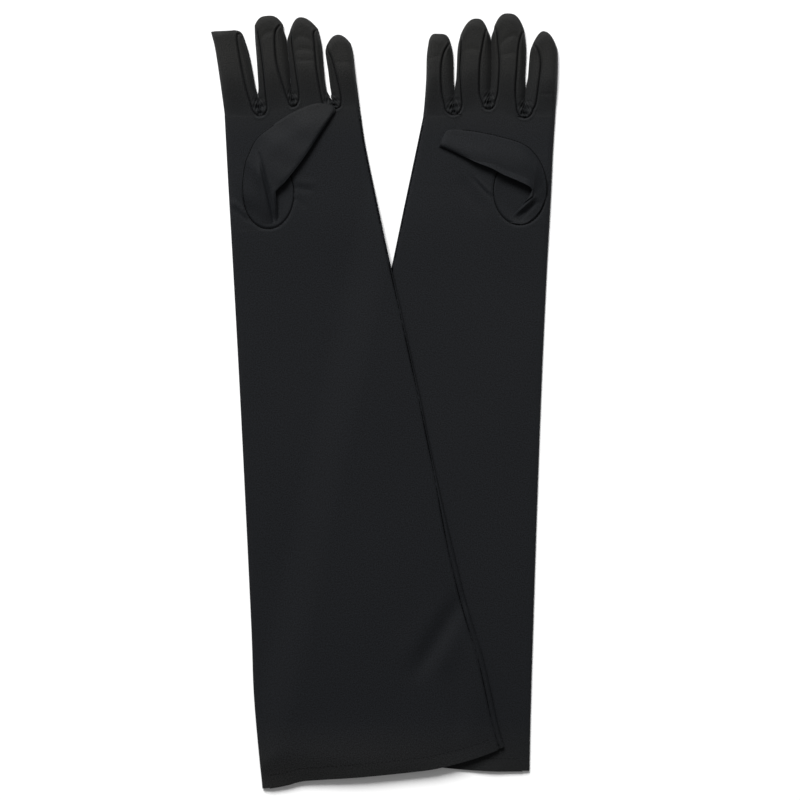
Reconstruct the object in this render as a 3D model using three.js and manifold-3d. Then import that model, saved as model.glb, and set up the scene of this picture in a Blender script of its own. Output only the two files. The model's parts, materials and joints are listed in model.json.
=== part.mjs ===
// A pair of full-length stretch-satin opera gloves, laid flat on a table with the palms up.
// The left glove lies across the right one from the wrist down, and each thumb is folded
// over its palm. Every glove is a trank (one cloth folded along the index side and seamed
// along the little-finger side), a set-in thumb, fourchettes between the fingers and a hem.
// Millimetres: +X across the pair, +Y towards the fingertips, +Z up from the table.
import * as THREE from 'three';
import { mergeVertices } from 'three/addons/utils/BufferGeometryUtils.js';
import Module from 'manifold-3d';

const wasm = await Module();
wasm.setup();

// Cloth and lofts
const CLOTH = 0.6; // one layer of stretch satin
const HEM_CLOTH = 0.9; // turned hem, two layers pressed together
const GAP = 0.3; // air between neighbouring layers
const EDGE_LOFT = 0.9; // underside of the top layer where it meets a fold or seam
const SLEEVE_LOFT = 1.9; // underside of the top layer in the flat sleeve
const HAND_LOFT = 3.2; // underside of the palm
const FINGER_LOFT = 6.4; // underside of a finger's front, half way along
const TIP_LOFT = 1.6; // underside of a finger's front at its tip
const THUMB_LOFT = 6.2; // height of the folded thumb above the cloth it lies on
const ROLL = 9; // distance from an edge at which the top layer is at full height
const SLEEVE_LENGTH = 360; // hem to wrist
const HEM_DEPTH = 10;
const LAYER_STEP = SLEEVE_LOFT + HEM_CLOTH + 1.5 * GAP; // rise of the left sleeve over the right
const PALM_TOP = HAND_LOFT + CLOTH;

// Side seam: a line of overlock thread just inside the little-finger edge
const SEAM_INSET = 3.6;
const SEAM_WIDTH = 1.2;
const SEAM_HEIGHT = 0.5;

// Outlines seen from above, west (-X) to east (+X) and hem to fingertip
const LEFT = {
  name: 'left',
  hem: [[-89.3, -278.6], [-45.8, -271.8], [-2.3, -267.2], [41.2, -262.8], [84.7, -248]],
  wrist: [[-110.3, 92.8], [1.2, 107.5]],
  westSleeve: [[-89.3, -278.6], [-95.3, -214.6], [-97.6, -157], [-104.6, -13], [-110.3, 92.8]],
  eastSleeve: [[84.7, -248], [77.5, -220], [56.5, -141], [38.4, -65], [21.8, 14.4], [1.2, 107.5]],
  westHand: [[-110.3, 92.8], [-114, 157]],
  eastHand: [[1.2, 107.5], [-3.8, 131], [-14.6, 183]],
  seamSide: 'east',
  forks: [[-90.6, 205.9], [-66.9, 212.4], [-36.6, 211]],
  fingers: [
    { name: 'index', root: [-105.2, 212.1], rootWidth: 24, lean: -10.2, length: 53.5, width: 23.1, east: 5.5 },
    { name: 'middle', root: [-79.4, 217], rootWidth: 20.6, lean: -5.6, length: 61, width: 22.2, west: 4.5, east: 6 },
    { name: 'ring', root: [-52.6, 219.6], rootWidth: 22.6, lean: -8.8, length: 57, width: 24, west: 3.8, east: 5.2 },
    { name: 'little', root: [-27.9, 217.2], rootWidth: 17, lean: -9.5, length: 46.5, width: 22, west: 4.8 },
  ],
  thumb: {
    hole: { centre: [-84.8, 150], radii: [18.4, 25.4] },
    near: [[-99.5, 174], [-92.7, 187.2], [-78.7, 200.2], [-61.5, 211.8]],
    far: [[-78.6, 152], [-71.9, 159.1], [-60.7, 173.5], [-49.9, 190.1], [-37, 208.6]],
    tipBulge: 3.6,
  },
};
const RIGHT = {
  name: 'right',
  hem: [[-68.5, -246], [-11.3, -255.6], [45.9, -263.4], [103.1, -265.7]],
  wrist: [[5.9, 107.3], [115.6, 93.8]],
  westSleeve: [[-68.5, -246], [5.9, 107.3]],
  eastSleeve: [[103.1, -265.7], [104.2, -215], [107.8, -99], [112, 16], [115.6, 93.8]],
  westHand: [[5.9, 107.3], [12.7, 140], [19.9, 174]],
  eastHand: [[115.6, 93.8], [118.6, 148], [120, 179]],
  seamSide: 'west',
  forks: [[48.5, 206.6], [73.8, 210.6], [99.1, 204.5]],
  fingers: [
    { name: 'little', root: [36.9, 214.3], rootWidth: 19.6, lean: 2, length: 50.5, width: 19.4, east: 7.5 },
    { name: 'ring', root: [61.2, 216.2], rootWidth: 21.4, lean: 4.2, length: 59, width: 22.8, west: 3, east: 6.5 },
    { name: 'middle', root: [87, 217], rootWidth: 21.4, lean: 0.8, length: 61.5, width: 22.8, west: 4.2, east: 6.5 },
    { name: 'index', root: [111.6, 212.6], rootWidth: 20, lean: 3.4, length: 53.2, width: 20.2, west: 7 },
  ],
  thumb: {
    hole: { centre: [96, 152], radii: [19, 24.6] },
    near: [[103.6, 151.5], [86.9, 161.3], [71.9, 167], [53.8, 175], [38.6, 184.4]],
    far: [[110.5, 171.5], [101.3, 183.6], [78.3, 190.8], [64.9, 194.4], [44, 196.2]],
    tipBulge: 2.6,
  },
};

const SATIN = { color: 0x232427, roughness: 0.62, metalness: 0 };
const SATIN_FINGER = { color: 0x2b2b2d, roughness: 0.6, metalness: 0 };
const SATIN_HEM = { color: 0x202124, roughness: 0.66, metalness: 0 };
const THREAD = { color: 0x17181a, roughness: 0.75, metalness: 0 };

const gloves = new THREE.Group();

// ---- Curves and patches ----------------------------------------------------------------

const vector = ([x, y]) => new THREE.Vector2(x, y);

/** A smooth curve through points, read by its share of arc length. */
function along(points) {
  const curve = new THREE.SplineCurve(points.map(vector));
  return (t) => curve.getPointAt(THREE.MathUtils.clamp(t, 0, 1));
}

/** Straight runs between points, read by the share of the way across in X. */
function stepped(points) {
  const [first, last] = [points[0][0], points.at(-1)[0]];
  return (u) => {
    const x = first + (last - first) * u;
    const next = Math.max(1, points.findIndex((p) => p[0] >= x - 1e-9));
    const [a, b] = [points[next - 1], points[next]];
    const share = (x - a[0]) / (b[0] - a[0]);
    return vector(a).lerp(vector(b), THREE.MathUtils.clamp(share, 0, 1));
  };
}

/** The Coons patch inside four edges: (u across, v up) to a plan point. */
function patch(south, north, west, east) {
  const corner = { sw: south(0), se: south(1), nw: north(0), ne: north(1) };
  return (u, v) => {
    const rows = south(u).multiplyScalar(1 - v).addScaledVector(north(u), v);
    const sides = west(v).multiplyScalar(1 - u).addScaledVector(east(v), u);
    const corners = corner.sw.clone().multiplyScalar((1 - u) * (1 - v));
    corners.addScaledVector(corner.se, u * (1 - v));
    corners.addScaledVector(corner.nw, (1 - u) * v).addScaledVector(corner.ne, u * v);
    return rows.add(sides).sub(corners);
  };
}

/** Smoothly 0 to 1 as x goes from low to high. */
const rise = (x, low, high) => THREE.MathUtils.smoothstep(x, low, high);

/** Loft of the top layer at a distance from the nearest edge: a quarter round, then level. */
function rolled(distance, loft) {
  const share = 1 - Math.min(distance / ROLL, 1);
  return EDGE_LOFT + (loft - EDGE_LOFT) * (1 - share * share);
}

// ---- Cloth solids ----------------------------------------------------------------------

function add(name, geometry, finish) {
  const mesh = new THREE.Mesh(geometry, new THREE.MeshStandardMaterial(finish));
  mesh.name = name;
  gloves.add(mesh);
}

/**
 * A layer of cloth as a closed slab: a box divided into columns and rows whose corners go to
 * under(u, v), with the top one thickness above. stations(v) gives the columns of a row.
 */
function layer(stations, rows, under, thickness) {
  const columns = stations(rows[0]).length - 1;
  const box = new THREE.BoxGeometry(1, 1, 1, columns, rows.length - 1, 1);
  box.deleteAttribute('normal');
  box.deleteAttribute('uv');
  const slab = mergeVertices(box);
  const corner = slab.attributes.position;
  for (let i = 0; i < corner.count; i += 1) {
    const v = rows[Math.round((corner.getY(i) + 0.5) * (rows.length - 1))];
    const u = stations(v)[Math.round((corner.getX(i) + 0.5) * columns)];
    const place = under(u, v);
    const lift = corner.getZ(i) > 0 ? thickness : 0;
    corner.setXYZ(i, place.x, place.y, place.z + lift);
  }
  slab.computeVertexNormals();
  return slab;
}

const even = (count) => Array.from({ length: count + 1 }, (_, i) => i / count);

/** Sorted columns with a hair of cloth between any two, so that none coincide. */
function spread(values) {
  const sorted = values.map((u) => THREE.MathUtils.clamp(u, 0, 1)).sort((a, b) => a - b);
  const hair = 0.0015;
  const last = sorted.length - 1;
  for (let i = 1; i <= last; i += 1) {
    sorted[i] = Math.max(sorted[i], sorted[i - 1] + hair);
  }
  sorted[last] = 1;
  for (let i = last - 1; i > 0; i -= 1) {
    sorted[i] = Math.min(sorted[i], sorted[i + 1] - hair);
  }
  return sorted;
}

/** Columns that follow the rolled edges of a panel of this width. */
function rolledStations(width, middle) {
  const edge = [0, 2, 5, ROLL].map((d) => d / width);
  return [...edge, ...middle, ...edge.map((u) => 1 - u)];
}

function toManifold(geometry) {
  const bare = geometry.clone();
  bare.deleteAttribute('normal');
  bare.deleteAttribute('uv');
  const merged = mergeVertices(bare);
  const vertProperties = new Float32Array(merged.attributes.position.array);
  const triVerts = new Uint32Array(merged.index.array);
  return new wasm.Manifold(new wasm.Mesh({ numProp: 3, vertProperties, triVerts }));
}

function fromManifold(solid) {
  const { vertProperties, triVerts } = solid.getMesh();
  const geometry = new THREE.BufferGeometry();
  geometry.setAttribute('position', new THREE.BufferAttribute(vertProperties, 3));
  geometry.setIndex(new THREE.BufferAttribute(triVerts, 1));
  geometry.computeVertexNormals();
  return geometry;
}

// ---- Sleeves and hems ------------------------------------------------------------------

const sleevePatch = (glove) => patch(
  along(glove.hem),
  along(glove.wrist),
  along(glove.westSleeve),
  along(glove.eastSleeve),
);

const rightHem = new THREE.SplineCurve(RIGHT.hem.map(vector));
const rightEdge = { foot: vector(RIGHT.westSleeve[0]), head: vector(RIGHT.westSleeve[1]) };
const rightEdgeRun = rightEdge.head.clone().sub(rightEdge.foot).normalize();

/** How far a plan point lies inside the right sleeve, from its hidden long edge. */
function insideEdge(p) {
  const offset = p.clone().sub(rightEdge.foot);
  return offset.x * rightEdgeRun.y - offset.y * rightEdgeRun.x;
}

/** How far a plan point lies above the right sleeve's hem. */
function insideHem(p) {
  const [west, east] = [RIGHT.hem[0][0], RIGHT.hem.at(-1)[0]];
  const share = THREE.MathUtils.clamp((p.x - west) / (east - west), 0, 1);
  return p.y - rightHem.getPoint(share).y;
}

// The left sleeve climbs onto the right one just outside its edge and its hem
const EDGE_CLIMB = [-5.5, -4, -2.5, -1];
const HEM_CLIMB = [-11, -3];

/** Height of what a glove's sleeve lies on: the table, or the sleeve below it. */
function restHeight(glove, p) {
  if (glove !== LEFT) return 0;
  const overEdge = rise(insideEdge(p), EDGE_CLIMB[0], EDGE_CLIMB.at(-1));
  const overHem = rise(insideHem(p), ...HEM_CLIMB);
  return LAYER_STEP * Math.min(overEdge, overHem);
}

/** Rows of a sleeve in millimetres from the hem, closer where the left one climbs. */
function sleeveRows(glove) {
  const plain = [40, 90, 140, 190, 240, 290, 330];
  const climbing = [15, 20, 25, 31, 40, 90, 140, 190, 240, 290, 320, 335, 344, 348, 351, 354, 357];
  return glove === LEFT ? climbing : plain;
}

function sleeve(glove) {
  const plan = sleevePatch(glove);
  const width = (v) => plan(1, v).distanceTo(plan(0, v));
  const stations = (v) => {
    const columns = rolledStations(width(v), even(5).slice(1, -1));
    if (glove === LEFT) {
      const [west, east] = [insideEdge(plan(0, v)), insideEdge(plan(1, v))];
      columns.push(...EDGE_CLIMB.map((d) => (d - west) / (east - west)));
    }
    return spread(columns);
  };
  const at = (loft) => (u, v) => {
    const p = plan(u, v);
    const edge = Math.min(u, 1 - u) * width(v);
    const z = restHeight(glove, p) + (loft ? rolled(edge, loft) : 0);
    return new THREE.Vector3(p.x, p.y, z);
  };
  const rows = [HEM_DEPTH + GAP, ...sleeveRows(glove), SLEEVE_LENGTH - GAP / 2];
  const shares = rows.map((mm) => mm / SLEEVE_LENGTH);
  add(`${glove.name}_sleeve_palm_side`, layer(stations, shares, at(SLEEVE_LOFT), CLOTH), SATIN);
  add(`${glove.name}_sleeve_back_side`, layer(stations, shares, at(0), CLOTH), SATIN);
  const hemRows = [0, HEM_DEPTH / 2, HEM_DEPTH].map((mm) => mm / SLEEVE_LENGTH);
  const upperHem = layer(stations, hemRows, at(SLEEVE_LOFT), HEM_CLOTH);
  add(`${glove.name}_hem_palm_side`, upperHem, SATIN_HEM);
  add(`${glove.name}_hem_back_side`, layer(stations, hemRows, at(0), CLOTH), SATIN_HEM);
  seamThread(`${glove.name}_sleeve_seam_thread`, glove, width, shares, at(SLEEVE_LOFT));
}

/** The overlock thread of the side seam, lying on the top layer. */
function seamThread(name, glove, width, rows, under) {
  const pair = (v) => {
    const near = (SEAM_INSET - SEAM_WIDTH) / width(v);
    const far = SEAM_INSET / width(v);
    return glove.seamSide === 'west' ? [near, far] : [1 - far, 1 - near];
  };
  const onTop = (u, v) => under(u, v).add(new THREE.Vector3(0, 0, CLOTH + 1.5 * GAP));
  add(name, layer(pair, rows, onTop, SEAM_HEIGHT), THREAD);
}

// ---- Hands -----------------------------------------------------------------------------

/** A finger's unit directions: forward to its tip and across to the east. */
function fingerAxes(finger) {
  const lean = THREE.MathUtils.degToRad(finger.lean);
  return {
    forward: new THREE.Vector2(Math.sin(lean), Math.cos(lean)),
    across: new THREE.Vector2(Math.cos(lean), -Math.sin(lean)),
  };
}

/** The west and east ends of the line about which a finger bends. */
function knuckle(finger) {
  const { across } = fingerAxes(finger);
  const root = vector(finger.root);
  const half = finger.rootWidth / 2;
  return [root.clone().addScaledVector(across, -half), root.clone().addScaledVector(across, half)];
}

/** The hand's upper edge: each finger's knuckle line, with a notch at each fork. */
function handTop(glove) {
  const points = [];
  glove.fingers.forEach((finger, i) => {
    if (i > 0) points.push(glove.forks[i - 1]);
    points.push(...knuckle(finger).map((p) => p.toArray()));
  });
  return points;
}

function hand(glove) {
  const top = handTop(glove);
  const plan = patch(
    along(glove.wrist),
    stepped(top),
    along([...glove.westHand, top[0]]),
    along([...glove.eastHand, top.at(-1)]),
  );
  const width = (v) => plan(1, v).distanceTo(plan(0, v));
  const span = top.at(-1)[0] - top[0][0];
  const corners = top.slice(1, -1).map((p) => (p[0] - top[0][0]) / span);
  const stations = (v) => spread(rolledStations(width(v), corners));
  const at = (loft) => (u, v) => {
    const p = plan(u, v);
    const edge = Math.min(u, 1 - u) * width(v);
    const level = SLEEVE_LOFT + (loft - SLEEVE_LOFT) * rise(v, 0, 0.25);
    return new THREE.Vector3(p.x, p.y, loft ? rolled(edge, level) : 0);
  };
  const length = 108;
  const rows = [GAP / 2 / length, 0.08, 0.25, 0.5, 0.75, 1 - GAP / 2 / length];
  const palm = toManifold(layer(stations, rows, at(HAND_LOFT), CLOTH));
  const { hole } = glove.thumb;
  add(`${glove.name}_hand_palm`, fromManifold(palm.subtract(ovalPrism(hole, 0))), SATIN);
  add(`${glove.name}_thumb_gusset`, fromManifold(palm.intersect(ovalPrism(hole, GAP))), SATIN);
  add(`${glove.name}_hand_back`, layer(stations, rows, at(0), CLOTH), SATIN);
  seamThread(`${glove.name}_hand_seam_thread`, glove, width, rows, at(HAND_LOFT));
}

/** An upright prism over the oval that the thumb is set into, less an inset all round. */
function ovalPrism({ centre, radii }, inset) {
  const oval = new THREE.Shape();
  oval.absellipse(centre[0], centre[1], radii[0] - inset, radii[1] - inset, 0, 2 * Math.PI);
  const depth = 2 * PALM_TOP;
  const prism = new THREE.ExtrudeGeometry(oval, { depth, bevelEnabled: false, curveSegments: 14 });
  return toManifold(prism);
}

// ---- Fingers ---------------------------------------------------------------------------

/** Half the finger's width at a share of its length: full in the middle, squared at the tip. */
function halfWidth(finger, b) {
  const widening = THREE.MathUtils.lerp(finger.rootWidth, finger.width, rise(b, 0, 0.35));
  const closing = 1 - 0.42 * rise(b, 0.82, 1) ** 1.5;
  return (widening / 2) * closing;
}

/** Underside of a finger's upper skin: level with the palm at the root, full, then a low tip. */
function fingerLoft(b) {
  const fill = THREE.MathUtils.lerp(HAND_LOFT, FINGER_LOFT, rise(b, 0, 0.3));
  return THREE.MathUtils.lerp(fill, TIP_LOFT, rise(b, 0.6, 1));
}

function finger(glove, made, neighbours) {
  const { forward, across } = fingerAxes(made);
  const root = vector(made.root);
  const rows = [GAP / 2 / made.length, 0.1, 0.25, 0.45, 0.65, 0.82, 0.91, 1];
  /** a runs from -1 on the west outline to 1 on the east outline. */
  const at = (upper) => (a, b) => {
    const p = root.clone().addScaledVector(forward, made.length * b);
    p.addScaledVector(across, a * halfWidth(made, b));
    const dome = EDGE_LOFT + (fingerLoft(b) - EDGE_LOFT) * (1 - a ** 4);
    return new THREE.Vector3(p.x, p.y, upper ? dome : 0);
  };
  const seam = (side, b) => {
    const share = (made[side] ?? 0) / halfWidth(made, b);
    return 1 - share * (1 - 0.7 * rise(b, 0.75, 1));
  };
  const gap = (b) => GAP / halfWidth(made, b);
  const between = (low, high, parts) => even(parts).map((t) => THREE.MathUtils.lerp(low, high, t));
  const name = `${glove.name}_${made.name}`;
  const front = (b) => between(-seam('west', b), seam('east', b), 4);
  add(`${name}_front`, layer(front, rows, at(true), CLOTH), SATIN_FINGER);
  add(`${name}_back`, layer(() => between(-1, 1, 2), rows, at(false), CLOTH), SATIN_FINGER);
  if (made.west) {
    const strip = (b) => between(-1, -seam('west', b) - gap(b), 2);
    add(`${name}_fourchette_by_${neighbours[0]}`, layer(strip, rows, at(true), CLOTH), SATIN_FINGER);
  }
  if (made.east) {
    const strip = (b) => between(seam('east', b) + gap(b), 1, 2);
    add(`${name}_fourchette_by_${neighbours[1]}`, layer(strip, rows, at(true), CLOTH), SATIN_FINGER);
  }
}

/** The doubled web at the foot of a fourchette, a small wedge that fills the fork's notch. */
function forkWeb(glove, i) {
  const [west, east] = [knuckle(glove.fingers[i])[1], knuckle(glove.fingers[i + 1])[0]];
  const foot = vector(glove.forks[i]);
  const centre = west.clone().add(east).add(foot).divideScalar(3);
  const shrink = 0.62;
  const wedge = [foot, east, west].map((p) => p.clone().sub(centre).multiplyScalar(shrink).add(centre));
  const depth = HAND_LOFT;
  const web = new THREE.ExtrudeGeometry(new THREE.Shape(wedge), { depth, bevelEnabled: false });
  web.translate(0, 0, GAP);
  const names = glove.fingers.slice(i, i + 2).map((f) => f.name).join('_');
  add(`${glove.name}_${names}_fork`, fromManifold(toManifold(web)), SATIN_FINGER);
}

// ---- Thumbs ----------------------------------------------------------------------------

/** The thumb, flat on the palm: a back layer below and a domed front layer above it. */
function thumb(glove) {
  const { near, far, tipBulge } = glove.thumb;
  const [nearSide, farSide] = [along(near), along(far)];
  const tipward = vector(near.at(-1)).sub(vector(near.at(-2))).normalize();
  const plan = (u, b) => {
    const bulge = tipBulge * 4 * u * (1 - u) * rise(b, 0.5, 1);
    return nearSide(b).lerp(farSide(b), u).addScaledVector(tipward, bulge);
  };
  const rest = PALM_TOP + GAP;
  const under = (u, b) => {
    const p = plan(u, b);
    return new THREE.Vector3(p.x, p.y, rest);
  };
  const over = (u, b) => {
    const p = plan(u, b);
    const length = rise(b, -0.15, 0.45) * (1 - 0.7 * rise(b, 0.72, 1));
    const dome = (THUMB_LOFT - EDGE_LOFT) * length * (1 - (2 * u - 1) ** 4);
    return new THREE.Vector3(p.x, p.y, rest + EDGE_LOFT + dome);
  };
  const rows = [0, 0.12, 0.28, 0.45, 0.62, 0.78, 0.9, 1];
  add(`${glove.name}_thumb_back`, layer(() => even(2), rows, under, CLOTH), SATIN);
  const columns = [0, 0.1, 0.25, 0.5, 0.75, 0.9, 1];
  add(`${glove.name}_thumb_front`, layer(() => columns, rows, over, CLOTH), SATIN);
}

// ---- The pair --------------------------------------------------------------------------

for (const glove of [RIGHT, LEFT]) {
  sleeve(glove);
  hand(glove);
  thumb(glove);
  glove.fingers.forEach((made, i) => {
    finger(glove, made, [glove.fingers[i - 1]?.name, glove.fingers[i + 1]?.name]);
  });
  glove.forks.forEach((_, i) => forkWeb(glove, i));
}

export default gloves;
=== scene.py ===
import json
import math

import bpy
import numpy as np
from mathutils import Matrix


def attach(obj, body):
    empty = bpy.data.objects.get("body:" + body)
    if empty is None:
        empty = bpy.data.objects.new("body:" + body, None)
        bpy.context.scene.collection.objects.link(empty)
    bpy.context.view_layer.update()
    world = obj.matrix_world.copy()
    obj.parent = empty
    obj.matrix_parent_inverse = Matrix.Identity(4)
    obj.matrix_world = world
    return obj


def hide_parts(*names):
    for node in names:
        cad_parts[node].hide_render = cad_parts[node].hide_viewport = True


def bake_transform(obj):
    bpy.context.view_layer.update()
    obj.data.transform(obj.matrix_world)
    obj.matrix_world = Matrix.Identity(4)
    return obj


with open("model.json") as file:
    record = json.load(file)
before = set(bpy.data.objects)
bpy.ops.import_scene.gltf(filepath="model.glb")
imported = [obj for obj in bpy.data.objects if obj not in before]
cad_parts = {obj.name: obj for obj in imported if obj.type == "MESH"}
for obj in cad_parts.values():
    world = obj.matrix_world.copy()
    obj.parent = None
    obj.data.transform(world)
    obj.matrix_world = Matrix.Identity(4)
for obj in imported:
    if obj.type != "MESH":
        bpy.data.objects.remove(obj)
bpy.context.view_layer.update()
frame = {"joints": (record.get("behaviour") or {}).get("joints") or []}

# ---- The cloth -------------------------------------------------------------------------
# Every part of the gloves is cut from one black stretch satin, a fine warp knit brushed to a
# matte face. A part is a skin worked out on a grid in millimetres, (rows, columns, xyz), and
# the cloth has its own thickness under the skin, closed at the cut edges.
CLOTH = 0.5
MM = 0.001


def linear(hex_colour):
    """An sRGB hex colour as linear RGBA."""
    srgb = np.array([int(hex_colour[k : k + 2], 16) for k in (0, 2, 4)]) / 255
    rgb = np.where(srgb <= 0.04045, srgb / 12.92, ((srgb + 0.055) / 1.055) ** 2.4)
    return (*rgb.tolist(), 1.0)


def add_node(tree, kind, links=(), **settings):
    """Adds a node. settings are its properties or its sockets' values, and links are
    (its socket, the output that feeds it)."""
    node = tree.nodes.new(kind)
    for key, value in settings.items():
        if hasattr(node, key):
            setattr(node, key, value)
        else:
            node.inputs[key.replace("_", " ")].default_value = value
    for socket, output in links:
        tree.links.new(output, node.inputs[socket])
    return node


# Black stretch satin: a fine knit with its wales 0.45 mm apart, matte, with a faint cool
# fuzz, drawn in tufts of 0.77 mm, coarser than real ones, so that they show. Its black is
# painted a little greyer towards the fingers and the hem: painted light, for the light that falls there.
WALE = 0.45 * MM
COURSE = 0.40 * MM
TUFT = MM / 1.3
# Painted light: away from MIDDLE the cloth's black turns a lighter grey between these plan distances, in
# metres.
MIDDLE = -0.02
PAINTED_LIGHT_RANGE = (0.21, 0.27)
satin = bpy.data.materials.new("black_stretch_satin")
satin.use_nodes = True
tree = satin.node_tree
shader = tree.nodes["Principled BSDF"]
shader.inputs["Roughness"].default_value = 0.66
shader.inputs["Specular IOR Level"].default_value = 0.15
shader.inputs["Sheen Weight"].default_value = 0.045
shader.inputs["Sheen Roughness"].default_value = 0.4
shader.inputs["Sheen Tint"].default_value = linear("aab0b8")
on_cloth = add_node(tree, "ShaderNodeUVMap", uv_map="weave")
weave = add_node(tree, "ShaderNodeMapping", [("Vector", on_cloth.outputs[0])])
weave.inputs["Scale"].default_value = (1 / WALE, 1 / COURSE, 1)
wales = add_node(tree, "ShaderNodeTexWave", [("Vector", weave.outputs[0])], bands_direction="X")
wales.inputs["Scale"].default_value = 0.5
wales.inputs["Distortion"].default_value = 0.5
loops = add_node(tree, "ShaderNodeTexNoise", [("Vector", weave.outputs[0])], Scale=0.9, Detail=2.0)
loops.inputs["Roughness"].default_value = 0.6
knit = add_node(tree, "ShaderNodeMath", operation="ADD")
tree.links.new(wales.outputs["Fac"], knit.inputs[0])
tree.links.new(loops.outputs["Fac"], knit.inputs[1])
bump = add_node(tree, "ShaderNodeBump", [("Height", knit.outputs[0])], Strength=0.5, Distance=0.0001)
tree.links.new(bump.outputs[0], shader.inputs["Normal"])
laid_out = add_node(tree, "ShaderNodeUVMap", uv_map="plan")
where = add_node(tree, "ShaderNodeSeparateXYZ", [("Vector", laid_out.outputs[0])])
shifted = add_node(tree, "ShaderNodeMath", [(0, where.outputs["Y"])], operation="ADD")
shifted.inputs[1].default_value = -MIDDLE
reach = add_node(tree, "ShaderNodeMath", [(0, shifted.outputs[0])], operation="ABSOLUTE")
painted_light = add_node(tree, "ShaderNodeMapRange", [("Value", reach.outputs[0])])
painted_light.inputs["From Min"].default_value = PAINTED_LIGHT_RANGE[0]
painted_light.inputs["From Max"].default_value = PAINTED_LIGHT_RANGE[1]
# Painted light: the cloth's own black (A) is mixed towards a lighter grey (B) towards the fingers and the
# hem.
black = add_node(tree, "ShaderNodeMix", [("Factor", painted_light.outputs[0])], data_type="RGBA")
black.inputs["A"].default_value = linear("0f1114")
black.inputs["B"].default_value = linear("191918")
fuzz = add_node(tree, "ShaderNodeTexNoise", [("Vector", on_cloth.outputs[0])], Scale=1 / TUFT, Detail=2.0)
level = add_node(tree, "ShaderNodeMapRange", [("Value", fuzz.outputs["Fac"])])
level.inputs["From Min"].default_value = 0.36
level.inputs["From Max"].default_value = 0.64
level.inputs["To Min"].default_value = 0.25
level.inputs["To Max"].default_value = 1.75
shade = add_node(tree, "ShaderNodeVectorMath", [(0, black.outputs["Result"])], operation="SCALE")
tree.links.new(level.outputs[0], shade.inputs["Scale"])
tree.links.new(shade.outputs[0], shader.inputs["Base Color"])


SMOOTH_UP_TO = math.radians(62)
THINNEST = 0.01


def placed(name, points, faces, body, replaces, blend, material):
    """A mesh from points in millimetres, riding its body, or left unparented in world space when blend is
    given.
    """
    mesh = bpy.data.meshes.new(name)
    mesh.from_pydata((points * MM).tolist(), [], faces)
    mesh.polygons.foreach_set("use_smooth", np.ones(len(faces), bool))
    mesh.set_sharp_from_angle(angle=SMOOTH_UP_TO)
    mesh.materials.append(material)
    piece = bpy.data.objects.new(name, mesh)
    bpy.context.collection.objects.link(piece)
    if blend:
        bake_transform(piece)
    else:
        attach(piece, body)
    if replaces:
        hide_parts(*replaces)
    return piece


def on_the_flat(skin):
    """Where each grid point lies on the flat cloth: lengths run along its rows and columns."""
    middle = skin.shape[1] // 2
    u = np.cumsum(np.linalg.norm(np.diff(skin, axis=1, prepend=skin[:, :1]), axis=-1), 1)
    v = np.cumsum(np.linalg.norm(np.diff(skin, axis=0, prepend=skin[:1]), axis=-1), 0)
    return np.stack([u - u[:, middle : middle + 1], np.broadcast_to(v[:, middle : middle + 1], u.shape)], -1)


def cloth(name, skin, body, replaces=(), blend=None, keep=None, turned=False):
    """A layer of cloth: the skin's quads, the same ones a thickness below along its normals,
    and a rim of quads round every open edge. keep marks the grid points that are cloth. Its UV
    maps are the flat cloth, for the weave, and the plan it is laid out in."""
    rows, count = skin.shape[:2]
    index = np.arange(rows * count).reshape(rows, count)
    quads = np.stack([index[:-1, :-1], index[:-1, 1:], index[1:, 1:], index[1:, :-1]], -1).reshape(-1, 4)
    if keep is not None:
        quads = quads[keep.reshape(-1)[quads].all(1)]
    if turned:
        quads = quads[:, ::-1]
    used, quads = np.unique(quads, return_inverse=True)
    quads = quads.reshape(-1, 4)
    points = skin.reshape(-1, 3)[used]
    total = len(points)
    corner = points[quads]
    facing = np.cross(corner[:, 2] - corner[:, 0], corner[:, 3] - corner[:, 1])
    normal = np.zeros_like(points)
    for k in range(4):
        np.add.at(normal, quads[:, k], facing)
    normal /= np.maximum(np.linalg.norm(normal, axis=1, keepdims=True), 1e-9)
    edges = np.concatenate([quads[:, [k, (k + 1) % 4]] for k in range(4)])
    single = ~np.isin(edges[:, 0] * total + edges[:, 1], edges[:, 1] * total + edges[:, 0])
    a, b = edges[single].T
    rim = np.stack([b, a, a + total, b + total], -1)
    faces = np.concatenate([quads, quads[:, ::-1] + total, rim])
    shell = np.vstack([points, points - normal * CLOTH])
    piece = placed(name, shell, faces.tolist(), body, replaces, blend, satin)
    flat = on_the_flat(skin).reshape(-1, 2)[used] * MM
    corners = np.zeros(len(piece.data.loops), int)
    piece.data.loops.foreach_get("vertex_index", corners)
    for layer, at in (("weave", flat), ("plan", points[:, :2] * MM)):
        piece.data.uv_layers.new(name=layer).data.foreach_set("uv", at[corners % total].reshape(-1))
    width, length = np.maximum(np.ptp(flat, axis=0), THINNEST)
    area = np.linalg.norm(facing, axis=1).sum() / 2 * MM * MM
    area = min(max(area, 0.31 * width * length), width * length)
    return piece


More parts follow.
